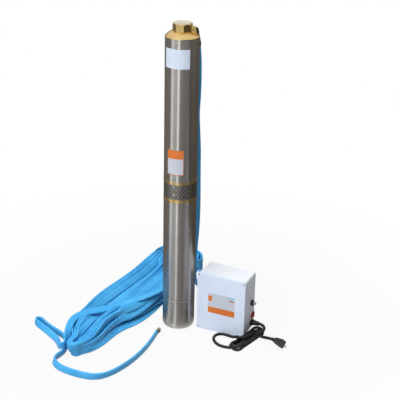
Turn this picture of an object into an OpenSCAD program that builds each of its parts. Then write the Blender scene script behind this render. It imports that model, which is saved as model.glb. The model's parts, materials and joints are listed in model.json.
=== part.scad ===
/* [Pump end] */
// Outside diameter of the pump casing and the motor casing
pump_d = 96; // [90:1:104]
// Wall of the pump casing tube
casing_wall = 1.6; // [1:0.1:2.5]
// Number of impeller stages
stages = 9; // [5:1:12]
// Height of one stage
stage_pitch = 36; // [32:1:42]
// Outside diameter of an impeller
impeller_d = 76; // [66:1:80]
// Vanes in each impeller
impeller_vanes = 6; // [4:1:8]
// Return vanes in each diffuser
diffuser_vanes = 8; // [6:1:10]
// Diameter of the impeller eye
eye_d = 29; // [26:0.5:32]
// Width across the flats of the hexagonal pump shaft
shaft_af = 12; // [10:0.5:14]
// Height of the dome screws' heads
dome_h = 1.6; // [1.2:0.1:2.4]

/* [Discharge head] */
// Width across the flats of the octagonal boss
boss_af = 51; // [48:0.5:56]
// Height of the octagonal boss
boss_h = 22; // [14:1:26]
// Height of the domed shoulder under the boss
shoulder_h = 14; // [12:1:24]
// Length of the spigot inside the pump casing
head_spigot = 32; // [28:1:40]
// Diameter of the outlet bore, cut for a 1 1/4 inch pipe thread
outlet_d = 39; // [34:0.5:41]
// Depth of the outlet bore
outlet_depth = 17.5; // [14:0.5:17.5]
// Thickness of the rope eye
eye_plate = 8; // [5:0.5:10]
// Diameter of the hole in the rope eye
rope_hole_d = 7; // [5:0.5:8]
// Distance from the axis to the rope hole
rope_hole_r = 33; // [32:0.5:37]
// Lift of the check valve
valve_lift = 10; // [6:1:12]

/* [Intake] */
// Height of the perforated strainer
screen_h = 47; // [40:1:70]
// Sheet of the strainer
screen_t = 1; // [0.8:0.1:1.5]
// Diameter of a strainer hole
screen_hole_d = 3.6; // [2:0.2:4.4]
// Height of the brass ring under the strainer
lower_ring_h = 10; // [7:0.5:14]
// Height of the brass ring over the strainer
upper_ring_h = 7; // [5:0.5:12]
// How far the brass rings stand proud of the casings
ring_proud = 0.4; // [0.2:0.1:1]
// Thickness of the ribs across the intake
rib_t = 6; // [4:0.5:7]

/* [Motor] */
// Length of the motor casing tube
motor_len = 402; // [380:1:460]
// Wall of the motor casing tube
motor_wall = 1.8; // [1.2:0.1:2.4]
// Height of the bottom cap, up to the motor casing
cap_h = 14; // [12:1:30]
// Height of the rolled groove above the ground
groove_z = 95; // [88:1:102]
// Length of the stator core
core_len = 180; // [140:2:190]
// Bore of the stator core
stator_bore = 49; // [44:0.5:54]
// Slots in the stator
stator_slots = 24; // [12:6:24]
// Diameter of the motor shaft
motor_shaft_d = 17; // [15:0.5:18]
// Outside diameter of the ball bearings
bearing_d = 40; // [38:1:42]
// Width of the ball bearings
bearing_w = 12; // [10:0.5:14]
// Balls in each bearing
bearing_balls_n = 8; // [6:1:8]

/* [Cable] */
// Width of the flat drop cable
cable_w = 21; // [16:0.5:24]
// Thickness of the flat drop cable
cable_t = 6.5; // [5:0.25:8]
// Direction of the cable guard, in degrees from the rope eye
guard_az = 58; // [50:1:66]
// Sheet of the cable guard
guard_t = 0.9; // [0.7:0.1:1.4]
// Height of the hank on the ground
hank_h = 60; // [40:1:70]

/* [Starter box] */
// Width of the box
box_w = 154; // [140:1:180]
// Height of the box
box_h = 186; // [170:1:210]
// Depth of the box with its lid
box_d = 84; // [76:1:100]
// Depth of the lid
lid_d = 15; // [10:0.5:20]
// Depth of the rim that the lid closes on
rim_d = 11; // [8:0.5:16]
// Wall of the box
box_wall = 2.5; // [2:0.25:4]
// Rounding of the box's corners
box_r = 7; // [4:0.5:10]
// Swing of the rocker from off to on
rocker_swing = 20; // [12:1:24]
// Travel of the reset button
reset_travel = 3; // [2:0.5:4]
// Diameter of the mains lead
lead_d = 9; // [7:0.5:10]

/* [Hidden] */
$fn = 64;

// Clearances: a slip fit, a running gap and the overlap that joins shapes
fit = 0.15;
run = 0.35;
lap = 0.5;
cut = 1;

// Radii that the casings set
r_case = pump_d / 2;
r_bore = r_case - casing_wall;
r_spigot = r_bore - fit;
r_motor_bore = r_case - motor_wall;
r_motor_fit = r_motor_bore - fit;
r_ring = r_case + ring_proud;

// Heights up the motor and the pump
spigot_h = 28;
spider_h = 18;
clamp_h = 15;
z_motor_top = cap_h + motor_len;
z_ring_top = z_motor_top + lower_ring_h;
z_screen_top = z_ring_top + screen_h;
z_casing = z_screen_top + upper_ring_h;
z_stack = z_casing + spigot_h;
z_spider = z_stack + stages * stage_pitch;
z_clamp = z_spider + spider_h;
z_spigot = z_clamp + clamp_h;
z_casing_top = z_spigot + head_spigot;
z_boss = z_casing_top + shoulder_h;
z_top = z_boss + boss_h;

// Screws
dome_r = 3.6;
shank_r = 1.6;
dome_ball = (dome_r * dome_r + dome_h * dome_h) / (2 * dome_h);
dome_screw_depth = 7;
casing_screw_az = [-110, -20, guard_az + 42, 160];
casing_screw_in = 12;
slot_screw_r = 4.6;
slot_screw_len = 11;
slot_w = 1.2;
motor_screw_az = [-65, 25, 115, 205];
motor_screw_drop = 17;
strainer_screw_z = [z_ring_top + 13, z_screen_top - 9];

// Check valve in the head's spigot
chamber_r = 36;
seat_h = 7;
seat_r = 20;
poppet_r = 26;
poppet_t = 4;
stem_r = 4;
guide_h = 8;
guide_hub_r = 8;
z_seat_top = z_spigot + seat_h;
z_poppet = z_seat_top + fit;
z_guide = z_poppet + poppet_t + valve_lift + cut;
stem_h = valve_lift + guide_h;
z_chamber_top = z_guide + guide_h;

// One stage, with heights from its foot
shell_t = 2;
shell_r = r_bore - fit;
plate_t = 3;
hub_r = 9.2;
bush_r = 13.5;
eye_r = eye_d / 2;
eye_wall = 2.7;
neck_r = eye_r + eye_wall;
neck_hole_r = neck_r + run;
shroud_t = 2;
impeller_foot = 4;
impeller_channel = 8;
deck_z = 22;
deck_t = 2.5;
deck_r = impeller_d / 2 + 2;
vane_t = 2;

// Shafts, coupling and seals
shaft_gap = 2;
coupling_r = 13;
coupling_foot = 10;
coupling_half = 22;
z_coupling = z_ring_top + coupling_foot;
z_shaft_joint = z_coupling + coupling_half;
spline_r = 7;
nut_h = 9;
bush_t = 3.5;
bearing_r = bearing_d / 2;
motor_shaft_r = motor_shaft_d / 2;
rotor_fit_r = motor_shaft_r + 3;
race_t = 2.6;
ball_r = (bearing_r - motor_shaft_r) / 2 - race_t + 1.5;
ball_pitch_r = (bearing_r + motor_shaft_r) / 2;

// Motor interior
head_depth = 44;
z_head_foot = z_motor_top - head_depth;
bearing_set = 2;
z_upper_bearing = z_head_foot + bearing_set;
bracket_h = 30;
z_bracket = groove_z - 9;
z_lower_bearing = z_bracket + 12;
z_core = (z_bracket + bracket_h + z_head_foot) / 2 - core_len / 2;
groove_depth = 1.4;
groove_half = 2.2;
coil_gap = 3;
coil_room = 9;
coil_reach = (z_head_foot - z_bracket - bracket_h - core_len) / 2 - coil_gap - coil_room;
air_gap = 0.5;
end_ring_h = 8;
end_ring_in = 2;
slot_r = 3.2;
slot_pitch_r = stator_bore / 2 + 9;
stud_in = 9.9;
stud_pcd = pump_d - 2 * stud_in;
stud_r = 4;
stud_depth = 13;
stud_az = [23, 113, 203, 293];
stud_nut_af = 13;
stud_nut_h = 6.5;
stud_end = 3;
bracket_flange = 6;
rib_az = [8, 128, 188, 248, 308];
screen_screw_az = [8, 128, 248];
diaphragm_t = 3;
z_diaphragm = cap_h + 14;
bead_w = 10;
bead_r = r_motor_fit - bead_w;
dome_rise = 18;

// Rope eye
eye_az = -20;
eye_top = 16.5;
rope_hole_rise = 4.5;

// Octagon corners face the front and the right as in the photograph
boss_turn = -83;

// Guard and lead
guard_gap = 0.8;
guard_w = cable_w + 2 * guard_gap + 2 * guard_t;
guard_d = cable_t + 2 * guard_gap + guard_t;
guard_screw_side = guard_w / 2 + dome_r + 1.2;
guard_screw_az = asin(guard_screw_side / r_case);
guard_reach = guard_screw_side + dome_r + 0.8;
z_guard_foot = z_ring_top + 4;
z_guard_top = z_casing_top - 20;
lead_r = r_ring + guard_gap + cable_t / 2;
gland_in = 8.5;
gland_r = r_case - gland_in;
gland_t = cable_t + 5;
gland_w = cable_w + 5;
gland_floor = 1;
lead_in = 3;
guard_screw_z = [z_casing + 50, (z_casing + z_guard_top) / 2, z_guard_top - 35];

// Box frame: its front lower left corner stands here and its front faces the camera's left
box_x = 55.4;
box_y = -30.3;
box_yaw = -24.1;
box_set = 1.5;
switch_at = [box_d - 22, 50];
switch_w = 32;
switch_h = 26;
switch_d = 22;
reset_at = [box_d - 24, 92];
button_back = 12;
gland_at = [box_d - 22, 25];
lid_rim = 10;
capacitor_x = 49;
capacitor_r = 21.5;
capacitor_h = 74;
block_x = 46;
block_drop = 50;
block_size = [60, 18, 22];
frame_t = 3;
rocker_w = 25;
rocker_h = 18;
rocker_proud = 3.5;
rocker_sink = 10;
pin_fit = 0.06;
button_r = 4.5;
button_proud = 8;
collar_r = 9;
collar_h = 6;
breaker_size = [16, 28, 30];
gland_nut_h = 7;
gland_len = 26;
gland_grip = 10;
gland_tail = 5;
screw_inset = 5;
lid_screw_r = 2.6;
lid_screw_in = 3;
lid_screw_h = 2;

// Cable routes: x, y, z, then the direction and the slope of the cable's width, in degrees
exit_x = lead_r * cos(guard_az);
exit_y = lead_r * sin(guard_az);
drop_route = [
  [exit_x, exit_y, z_guard_top, 148, 0], [exit_x, exit_y, z_guard_top + 12, 148, 0],
  [28.3, 46.5, z_guard_top + 21, 148, 0], [30.5, 54.5, z_guard_top + 26, 148, 0],
  [33, 62, z_guard_top + 21, 148, 0], [34.5, 65, z_guard_top + 12, 148, 0], [37, 67, 876, 148, 0],
  [41.5, 68, 850, 148, 0], [44.5, 69, 815, 147, 0], [46, 71, 760, 146, 0],
  [45, 73, 700, 146, 0], [43, 75, 650, 147, 0], [45, 77, 600, 148, 0],
  [48, 79, 540, 149, 0], [48, 83, 470, 150, 0], [47, 89, 400, 152, 0],
  [46, 98, 330, 154, 0], [44, 111, 260, 156, 0], [42, 127, 190, 158, 0],
  [42, 146, 125, 160, 0], [44, 168, 66, 160, 0], [50, 194, 26, 158, 0],
  [60, 224, 10, 156, 0], [71, 258, 8, 160, 0], [77, 292, 12, 170, 0], [77, 322, 22, 185, 0]
];
loop_route = [
  [-303, -170, 20, 0, 90], [-337, -170, 18, 0, 88], [-358, -142, 15, 0, 86], [-378, -104, 12, 0, 86],
  [-401, -70, 11.5, 0, 86], [-419, -48, 11.5, 0, 88], [-427, -38, 11.5, 0, 90],
  [-425, -29, 11.5, 0, 90], [-415, -31, 11.5, 0, 92], [-397, -47, 11.5, 0, 92],
  [-377, -63, 11.5, 0, 92], [-357, -76, 11.5, 0, 90], [-339, -92, 11.5, 0, 90],
  [-325, -114, 11.5, 0, 90], [-302, -130, 11.5, 0, 90]
];
tail_route = [
  [-312, -192, 11.5, 0, 90], [-326, -203, 11.5, 0, 88], [-335, -218, 11.5, 0, 84],
  [-344, -232, 11.5, 0, 78], [-348, -246, 11.5, 0, 72], [-345, -261, 11.5, 0, 68],
  [-334, -278, 11.5, 0, 66], [-316, -292, 11.5, 0, 65], [-292, -304, 11.5, 0, 65],
  [-264, -314, 11.5, 0, 66], [-236, -320, 11.5, 0, 68], [-210, -314, 11.5, 0, 72],
  [-184, -295, 11.5, 0, 76], [-160, -270, 11.5, 0, 78], [-136, -238, 11.5, 0, 80],
  [-114, -200, 11.5, 0, 80], [-95, -162, 11.5, 0, 80], [-78, -124, 11.5, 0, 82],
  [-63, -86, 11.5, 0, 84]
];
core_end = [-63, -86, 11.5];
core_heading = 68;

// Outline of the hank: along it from the tie, then across it
hank_at = [-300, -190];
hank_heading = 61.7;
hank_outline = [
  [-22, 0], [-4, 13], [30, 26], [60, 38], [100, 54], [142, 70], [201, 87], [243, 92], [330, 88],
  [424, 81], [488, 84], [560, 91], [622, 92], [662, 74], [686, 40], [694, -9], [686, -58], [662, -94],
  [622, -110], [560, -110], [500, -105], [430, -92], [368, -84], [298, -88], [247, -85], [204, -72],
  [171, -59], [125, -57], [80, -57], [45, -50], [14, -40], [-8, -28], [-22, -14]
];

// Lead routes in the same form, on the ground right of the box
lead_out = [box_w - box_set + gland_len - gland_grip, gland_at[0]];
lead_out_x = box_x + lead_out[0] * cos(box_yaw) - lead_out[1] * sin(box_yaw);
lead_out_y = box_y + lead_out[0] * sin(box_yaw) + lead_out[1] * cos(box_yaw);
lead_route = [
  [lead_out_x, lead_out_y, gland_at[1], 0, 90],
  [lead_out_x + 9.13, lead_out_y - 4.08, gland_at[1], 0, 90],
  [252, -50.5, 24.5, 0, 90], [259, -55, 21.5, 0, 90], [262, -63, 16, 0, 90], [259, -72, 13, 0, 90],
  [251, -81, 12, 0, 90]
];
ring_route = [
  [176, -147, 6, 0, 90], [162, -151, 4.7, 0, 90], [146, -150, 4.6, 0, 90], [124, -140, 4.6, 0, 90],
  [110, -119, 4.6, 0, 90], [108, -96, 4.6, 0, 90], [117, -80, 4.6, 0, 90], [133, -76, 4.6, 0, 90],
  [150, -84, 5, 0, 90], [163, -98, 8, 0, 90], [174, -114, 13, 0, 90], [184, -124, 15, 0, 90]
];
plug_route = [
  [226, -97, 14, 0, 90], [238, -90, 8, 0, 90], [248, -91, 7, 0, 90], [258, -99, 10, 0, 90],
  [269, -112.7, 15.5, 0, 90], [280, -123, 19, 0, 90]
];
bundle_route = [[240, -74], [211, -112], [178, -142]];
bundle_r = 17;
bundle_h = 19;

// Moulded plug: it lies on its pins, with its flat side up to the front
plug_at = [280, -123, 19];
plug_yaw = -43;
plug_roll = 45;
plug_neck = 12;
plug_len = 30;
plug_w = 25;
plug_t = 16;
pin_r = 2.4;
pin_len = 19;
pin_gap = 17;

// Shapes that several pieces share
module ring(outer, inner, h) {
  difference() {
    cylinder(r = outer, h = h);
    translate([0, 0, -cut]) cylinder(r = inner, h = h + 2 * cut);
  }
}

module turned(points) {
  rotate_extrude() polygon(points);
}

module around(angles) {
  for (a = angles) rotate(a) children();
}

module hexagon(af, h) {
  linear_extrude(h) circle(d = af / cos(30), $fn = 6);
}

// A pin that points outwards along +X from radius r
module radial(r, z) {
  translate([r, 0, z]) rotate([0, 90, 0]) children();
}

module dome_screw(r, z) {
  radial(r - dome_screw_depth, z) cylinder(r = shank_r, h = dome_screw_depth + lap);
  radial(r, z) intersection() {
    cylinder(r = dome_r, h = dome_h);
    translate([0, 0, dome_h - dome_ball]) sphere(r = dome_ball);
  }
}

module screw_hole(r, z) {
  radial(r - dome_screw_depth - cut, z)
    cylinder(r = shank_r + fit, h = dome_screw_depth + 2 * cut + r_case);
}

module rounded(w, h, r) {
  translate([r, 0]) square([w - 2 * r, h]);
  translate([0, r]) square([w, h - 2 * r]);
  for (x = [r, w - r], y = [r, h - r]) translate([x, y]) circle(r);
}

// A sweep of a section along a route of [x, y, z, direction, slope] points
function place(p) = [p[0], p[1], p[2]];
function unit(v) = v / norm(v);
function width_dir(p) = [cos(p[3]) * cos(p[4]), sin(p[3]) * cos(p[4]), sin(p[4])];
function ahead(route, i) =
  unit(place(route[min(i + 1, len(route) - 1)]) - place(route[max(i - 1, 0)]));
function side_of(route, i) = unit(cross(ahead(route, i), width_dir(route[i])));
function ring_points(route, i, section) = [
  for (q = section)
    place(route[i]) + q[0] * cross(side_of(route, i), ahead(route, i)) + q[1] * side_of(route, i)
];
function flat_section(w, t) = [
  [w / 2, t / 4], [w / 2 - t / 3, t / 2], [t / 3 - w / 2, t / 2], [-w / 2, t / 4],
  [-w / 2, -t / 4], [t / 3 - w / 2, -t / 2], [w / 2 - t / 3, -t / 2], [w / 2, -t / 4]
];
function polar(r, a) = r * [cos(a), sin(a)];
function arc_points(centre, r, from, to, n = 12) =
  [for (k = [0:n]) centre + polar(r, from + (to - from) * k / n)];
function round_section(d, n = 10) = [for (k = [0:n - 1]) polar(d / 2, 360 * k / n)];

module sweep(route, section) {
  n = len(section);
  m = len(route);
  points = [for (i = [0:m - 1]) each ring_points(route, i, section)];
  sides = [
    for (i = [0:m - 2], k = [0:n - 1])
      each [
        [i * n + k, (i + 1) * n + k, i * n + (k + 1) % n],
        [i * n + (k + 1) % n, (i + 1) * n + k, (i + 1) * n + (k + 1) % n]
      ]
  ];
  start_cap = [[for (k = [0:n - 1]) k]];
  end_cap = [[for (k = [n - 1:-1:0]) (m - 1) * n + k]];
  polyhedron(points, concat(sides, start_cap, end_cap));
}

// A curved vane from radius r1 to r2 that sweeps back by an angle
module arc_vane(r1, r2, back, bend, h) {
  dx = r2 * cos(back) - r1;
  dy = r2 * sin(back);
  chord = norm([dx, dy]);
  drop = sqrt(bend * bend - chord * chord / 4);
  translate([r1, 0, 0]) rotate(atan2(dy, dx)) intersection() {
    translate([chord / 2, -drop, 0]) ring(bend + vane_t / 2, bend - vane_t / 2, h);
    translate([0, -vane_t, 0]) cube([chord, bend - drop + 2 * vane_t, h]);
  }
}

// Discharge head and check valve
module boss() {
  corner_r = boss_af / 2 / cos(22.5);
  chamfer = 1.8;
  intersection() {
    translate([0, 0, z_boss - lap]) rotate(boss_turn)
      linear_extrude(boss_h + lap) circle(r = corner_r, $fn = 8);
    turned([
      [0, z_boss - lap], [corner_r + cut, z_boss - lap], [corner_r + cut, z_top - chamfer - cut / 2],
      [boss_af / 2 - chamfer / 2, z_top], [0, z_top]
    ]);
  }
}

// The rope eye's plate, grown all round by a gap; its foot sits in a slot of the head
module rope_plate(gap) {
  round_r = 6.5;
  inner = boss_af / 2 - 2.5;
  outer = r_case - 4;
  top = z_boss + eye_top;
  foot = z_casing_top + 2;
  round_at = [rope_hole_r, top - round_r];
  rotate(eye_az) translate([0, eye_plate / 2 + gap, 0]) rotate([90, 0, 0])
    linear_extrude(eye_plate + 2 * gap) polygon(concat(
      [[inner - gap, foot - gap], [outer + gap, foot - gap]],
      arc_points(round_at, round_r + gap, 10, 90),
      [[inner - gap, top + gap]]
    ));
}

module rope_eye() color("#c8a45c") difference() {
  rope_plate(0);
  rope_hole();
}

module rope_hole() {
  rotate(eye_az) translate([rope_hole_r, r_case, z_boss + rope_hole_rise]) rotate([90, 0, 0])
    cylinder(d = rope_hole_d, h = pump_d);
}

module discharge_head() color("#c8a45c") difference() {
  rim_h = 0.6;
  lip = 1.2;
  fullness = 1.8;
  neck = boss_af / 2 + 1.5;
  shoulder = [
    for (t = [0:0.125:1]) [
      r_ring - lip + (neck - r_ring + lip) * t,
      z_casing_top + rim_h + (shoulder_h - rim_h) * (1 - pow(1 - t, fullness))
    ]
  ];
  union() {
    turned(concat(
      [[0, z_spigot], [r_spigot, z_spigot], [r_spigot, z_casing_top], [r_ring, z_casing_top],
        [r_ring, z_casing_top + rim_h]],
      shoulder, [[0, z_boss]]
    ));
    boss();
  }
  translate([0, 0, z_top - outlet_depth]) cylinder(d = outlet_d, h = outlet_depth + cut);
  translate([0, 0, z_chamber_top]) cylinder(d = outlet_d - 4, h = z_top - z_chamber_top);
  translate([0, 0, z_spigot - cut]) cylinder(r = chamber_r, h = z_chamber_top - z_spigot + cut);
  rope_plate(fit);
  around(casing_screw_az) screw_hole(r_case, z_casing_top - casing_screw_in);
}

module valve_seat() color("#b9bdc0") turned([
  [seat_r, z_spigot], [chamber_r - fit, z_spigot], [chamber_r - fit, z_seat_top],
  [seat_r + 2, z_seat_top], [seat_r, z_seat_top - 2]
]);

module valve_poppet() color("#2c2c2c") turned([
  [0, z_poppet], [poppet_r, z_poppet], [poppet_r, z_poppet + poppet_t / 2],
  [stem_r * 2, z_poppet + poppet_t], [stem_r, z_poppet + poppet_t],
  [stem_r, z_poppet + poppet_t + stem_h], [0, z_poppet + poppet_t + stem_h]
]);

module valve_guide() color("#d9d9d4") translate([0, 0, z_guide]) linear_extrude(guide_h) {
  arm_t = 4;
  rim = 4;
  difference() {
    circle(chamber_r - fit);
    circle(chamber_r - rim);
  }
  difference() {
    union() {
      circle(guide_hub_r);
      around([0, 120, 240]) translate([0, -arm_t / 2]) square([chamber_r - rim / 2, arm_t]);
    }
    circle(stem_r + run);
  }
}

// Pump casing and its stages
module pump_casing() color("#9a9a98") difference() {
  translate([0, 0, z_casing]) ring(r_case, r_bore, z_casing_top - z_casing);
  around(casing_screw_az) {
    screw_hole(r_case, z_casing_top - casing_screw_in);
    screw_hole(r_case, z_casing + casing_screw_in);
  }
}

module casing_screws() color("#8b8d8e") around(casing_screw_az) {
  dome_screw(r_case, z_casing_top - casing_screw_in);
  dome_screw(r_case, z_casing + casing_screw_in);
}

module top_bearing_spider() color("#a8a8a4") translate([0, 0, z_spider]) {
  arm_t = 4;
  hub = shaft_af / 2 / cos(30) + run + bush_t + 3;
  ring(shell_r, shell_r - 3, spider_h + clamp_h);
  difference() {
    union() {
      cylinder(r = hub, h = spider_h - 2);
      around([30, 150, 270]) translate([0, -arm_t / 2, 0]) cube([shell_r - 2, arm_t, spider_h - 4]);
    }
    translate([0, 0, -cut]) cylinder(r = hub - 3, h = spider_h);
  }
}

module top_bearing_bush() color("#2a2a2a") {
  bore = shaft_af / 2 / cos(30) + run;
  translate([0, 0, z_spider]) ring(bore + bush_t - fit, bore, spider_h - 2);
}

module impeller() {
  difference() {
    union() {
      turned([
        [eye_r, 0], [neck_r, 0], [neck_r, impeller_foot], [impeller_d / 2, impeller_foot],
        [impeller_d / 2, impeller_foot + shroud_t], [eye_r, impeller_foot + shroud_t]
      ]);
      translate([0, 0, impeller_foot + shroud_t + impeller_channel])
        cylinder(d = impeller_d, h = shroud_t);
      cylinder(r = hub_r, h = stage_pitch);
      around([for (k = [0:impeller_vanes - 1]) 360 * k / impeller_vanes])
        translate([0, 0, impeller_foot + shroud_t - lap])
          arc_vane(hub_r - 1, impeller_d / 2 - 1, 55, 26, impeller_channel + 2 * lap);
    }
    translate([0, 0, -cut]) hexagon(shaft_af + 2 * fit, stage_pitch + 2 * cut);
  }
}

module impellers() color("#d8d2c0")
  for (k = [0:stages - 1]) translate([0, 0, z_stack - plate_t + k * stage_pitch]) impeller();

module diffuser() {
  vane_h = stage_pitch - plate_t - deck_z - deck_t;
  turned([
    [shell_r, 0], [shell_r, stage_pitch], [neck_hole_r, stage_pitch],
    [neck_hole_r, stage_pitch - plate_t], [shell_r - shell_t, stage_pitch - plate_t],
    [shell_r - shell_t, 0]
  ]);
  turned([
    [hub_r + run, deck_z - 3], [bush_r, deck_z - 3], [bush_r, deck_z], [deck_r, deck_z],
    [deck_r, deck_z + deck_t], [hub_r + run, deck_z + deck_t]
  ]);
  around([for (k = [0:diffuser_vanes - 1]) 360 * k / diffuser_vanes])
    translate([0, 0, deck_z + deck_t - lap])
      arc_vane(neck_hole_r + 1, shell_r - shell_t + lap, -42, 30, vane_h + 2 * lap);
}

module diffusers() color("#b4b4b0")
  for (k = [0:stages - 1]) translate([0, 0, z_stack + k * stage_pitch]) diffuser();

module pump_shaft() color("#c4c6c8")
  translate([0, 0, z_shaft_joint + shaft_gap / 2])
    hexagon(shaft_af, z_clamp - z_shaft_joint - shaft_gap / 2);

module shaft_nut() color("#9c9e9f") translate([0, 0, z_clamp - 2 + run]) difference() {
  cylinder(r = shaft_af / 2 / cos(30) + 3, h = nut_h);
  translate([0, 0, -cut]) hexagon(shaft_af + 2 * fit, cut + 2 - run + fit);
}

// Intake between the motor and the pump
module suction_bracket() color("#c2a05a") difference() {
  rib_r = r_case - screen_t - fit;
  flange_r = rib_r;
  union() {
    turned([
      [neck_hole_r, z_stack], [r_spigot, z_stack], [r_spigot, z_casing], [r_ring, z_casing],
      [r_ring, z_screen_top], [rib_r, z_screen_top], [rib_r, z_screen_top - 8],
      [rib_r - 6, z_screen_top - 8], [rib_r - 6, z_casing], [neck_hole_r, z_stack - plate_t]
    ]);
    translate([0, 0, z_ring_top]) ring(flange_r, flange_r - 17, bracket_flange);
    around(rib_az) translate([rib_r - 5, -rib_t / 2, z_ring_top + bracket_flange - lap])
      cube([5, rib_t, screen_h - bracket_flange - 8 + 2 * lap]);
  }
  around(stud_az) translate([stud_pcd / 2, 0, z_ring_top - cut])
    cylinder(r = stud_r + fit, h = bracket_flange + 2 * cut);
  around(casing_screw_az) screw_hole(r_case, z_casing + casing_screw_in);
  around(screen_screw_az) for (z = strainer_screw_z) screw_hole(r_case, z);
  rotate(guard_az) translate([gland_r - 6, -cable_w / 2 - 2, z_ring_top - cut])
    cube([r_case, cable_w + 4, screen_h - 6]);
}

module strainer() color("#7d7f80") {
  pitch = 7;
  rows = floor((screen_h - 6) / pitch);
  across = 28;
  clear_z = (screen_h - (rows - 1) * pitch) / 2;
  inner = r_case - screen_t;
  difference() {
    translate([0, 0, z_ring_top]) ring(r_case, inner, screen_h);
    rotate(guard_az) translate([0, -cable_w / 2 - 4, z_ring_top - cut])
      cube([pump_d, cable_w + 8, screen_h + 2 * cut]);
    for (row = [0:rows - 1], k = [0:across - 1])
      rotate((k + (row % 2) / 2) * 360 / across)
        radial(inner - cut, z_ring_top + clear_z + row * pitch)
          cylinder(d = screen_hole_d, h = screen_t + 2 * cut, $fn = 24);
    around(screen_screw_az) for (z = strainer_screw_z) screw_hole(r_case, z);
  }
}

module strainer_screws() color("#6f7172")
  around(screen_screw_az) for (z = strainer_screw_z) dome_screw(r_case, z);

module shaft_coupling() color("#8f9294") difference() {
  translate([0, 0, z_coupling]) cylinder(r = coupling_r, h = 2 * coupling_half);
  translate([0, 0, z_coupling - cut]) cylinder(r = spline_r + fit, h = coupling_half + cut);
  translate([0, 0, z_shaft_joint - lap]) hexagon(shaft_af + 2 * fit, coupling_half + cut + lap);
}

// Cable guard down the back of the pump
module cable_guard() color("#a2a4a5") rotate(guard_az) difference() {
  flange_foot = z_casing + 2;
  inner_d = r_ring + guard_d - guard_t;
  union() {
    translate([r_case - 8, -guard_w / 2, z_guard_foot])
      cube([8 + ring_proud + guard_d, guard_w, z_guard_top - z_guard_foot]);
    intersection() {
      translate([0, 0, flange_foot])
        cylinder(r = r_case + fit + guard_t, h = z_guard_top - flange_foot);
      translate([r_case / 2, -guard_reach, flange_foot])
        cube([r_case, 2 * guard_reach, z_guard_top - flange_foot]);
    }
  }
  translate([0, -guard_w / 2 + guard_t, z_guard_foot - cut])
    cube([inner_d, guard_w - 2 * guard_t, z_guard_top - z_guard_foot + 2 * cut]);
  cylinder(r = r_case + fit, h = z_top);
  cylinder(r = r_ring + fit, h = flange_foot);
  for (z = guard_screw_z, s = [-1, 1]) rotate(s * guard_screw_az) screw_hole(r_case, z);
}

module guard_screws() color("#8b8d8e") rotate(guard_az)
  for (z = guard_screw_z, s = [-1, 1]) rotate(s * guard_screw_az)
    radial(r_case + fit + guard_t, z) {
      cylinder(r = dome_r, h = dome_h);
      translate([0, 0, -fit - guard_t]) cylinder(r = shank_r, h = fit + guard_t + lap);
    }

module lead_gland() color("#262626") rotate(guard_az)
  translate([gland_r, 0, z_motor_top + gland_floor]) difference() {
    translate([-gland_t / 2 + fit, -gland_w / 2 + fit, 0])
      cube([gland_t - 2 * fit, gland_w - 2 * fit, lower_ring_h - gland_floor]);
    translate([-cable_t / 2 - fit, -cable_w / 2 - fit, lower_ring_h - gland_floor - lead_in])
      cube([cable_t + 2 * fit, cable_w + 2 * fit, lead_in + cut]);
  }

module motor_lead() color("#1f5fae") {
  up = [
    [gland_r, z_ring_top - lead_in], [gland_r, z_ring_top + 8], [gland_r + 2, z_ring_top + 18],
    [lead_r - 3, z_ring_top + 30], [lead_r, z_ring_top + 40], [lead_r, z_casing + 40],
    [lead_r, (z_casing + z_guard_top) / 2], [lead_r, z_guard_top]
  ];
  route = [for (p = up) [p[0] * cos(guard_az), p[0] * sin(guard_az), p[1], guard_az + 90, 0]];
  sweep(route, flat_section(cable_w, cable_t));
}

// Motor
module motor_head() color("#c2a05a") difference() {
  seal_r = bearing_r - 3;
  turned([
    [motor_shaft_r + 2 * run, z_head_foot + 24], [bearing_r - 4, z_upper_bearing + bearing_w],
    [bearing_r + fit, z_upper_bearing + bearing_w], [bearing_r + fit, z_head_foot],
    [r_motor_fit, z_head_foot], [r_motor_fit, z_motor_top], [r_ring, z_motor_top],
    [r_ring, z_ring_top], [seal_r, z_ring_top], [seal_r, z_ring_top - 16],
    [motor_shaft_r + 2 * run, z_ring_top - 16]
  ]);
  around(stud_az) translate([stud_pcd / 2, 0, z_ring_top - stud_depth])
    cylinder(r = stud_r + fit, h = stud_depth + cut);
  around(motor_screw_az) radial(r_case - slot_screw_len - fit, z_motor_top - motor_screw_drop)
    cylinder(r = slot_screw_r - 1 + fit, h = slot_screw_len + cut);
  rotate(guard_az) translate([gland_r - gland_t / 2, -gland_w / 2, z_motor_top + gland_floor])
    cube([gland_t, gland_w, lower_ring_h]);
  rotate(guard_az) translate([gland_r - 4, -cable_w / 2 + 2, z_head_foot - cut])
    cube([6, cable_w - 4, head_depth + gland_floor + 2 * cut]);
}

module motor_head_screws() color("#9d9fa0") around(motor_screw_az)
  radial(r_case - slot_screw_len, z_motor_top - motor_screw_drop) difference() {
    union() {
      cylinder(r = slot_screw_r - 1, h = slot_screw_len);
      translate([0, 0, slot_screw_len - motor_wall / 2])
        cylinder(r = slot_screw_r, h = motor_wall / 2);
    }
    translate([-slot_screw_r - cut, -slot_w / 2, slot_screw_len - motor_wall / 3])
      cube([2 * slot_screw_r + 2 * cut, slot_w, cut]);
  }

module motor_studs() color("#8f9294") around(stud_az) translate([stud_pcd / 2, 0, z_ring_top]) {
  translate([0, 0, -stud_depth])
    cylinder(r = stud_r, h = stud_depth + bracket_flange + stud_nut_h + stud_end);
  translate([0, 0, bracket_flange]) difference() {
    rotate(30) hexagon(stud_nut_af, stud_nut_h);
    translate([0, 0, -cut]) cylinder(r = stud_r + fit, h = stud_nut_h + 2 * cut);
  }
}

module shaft_seal_seat() color("#d8d8d4")
  translate([0, 0, z_ring_top - 16]) ring(bearing_r - 3 - fit, motor_shaft_r + run, 6);

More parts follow.
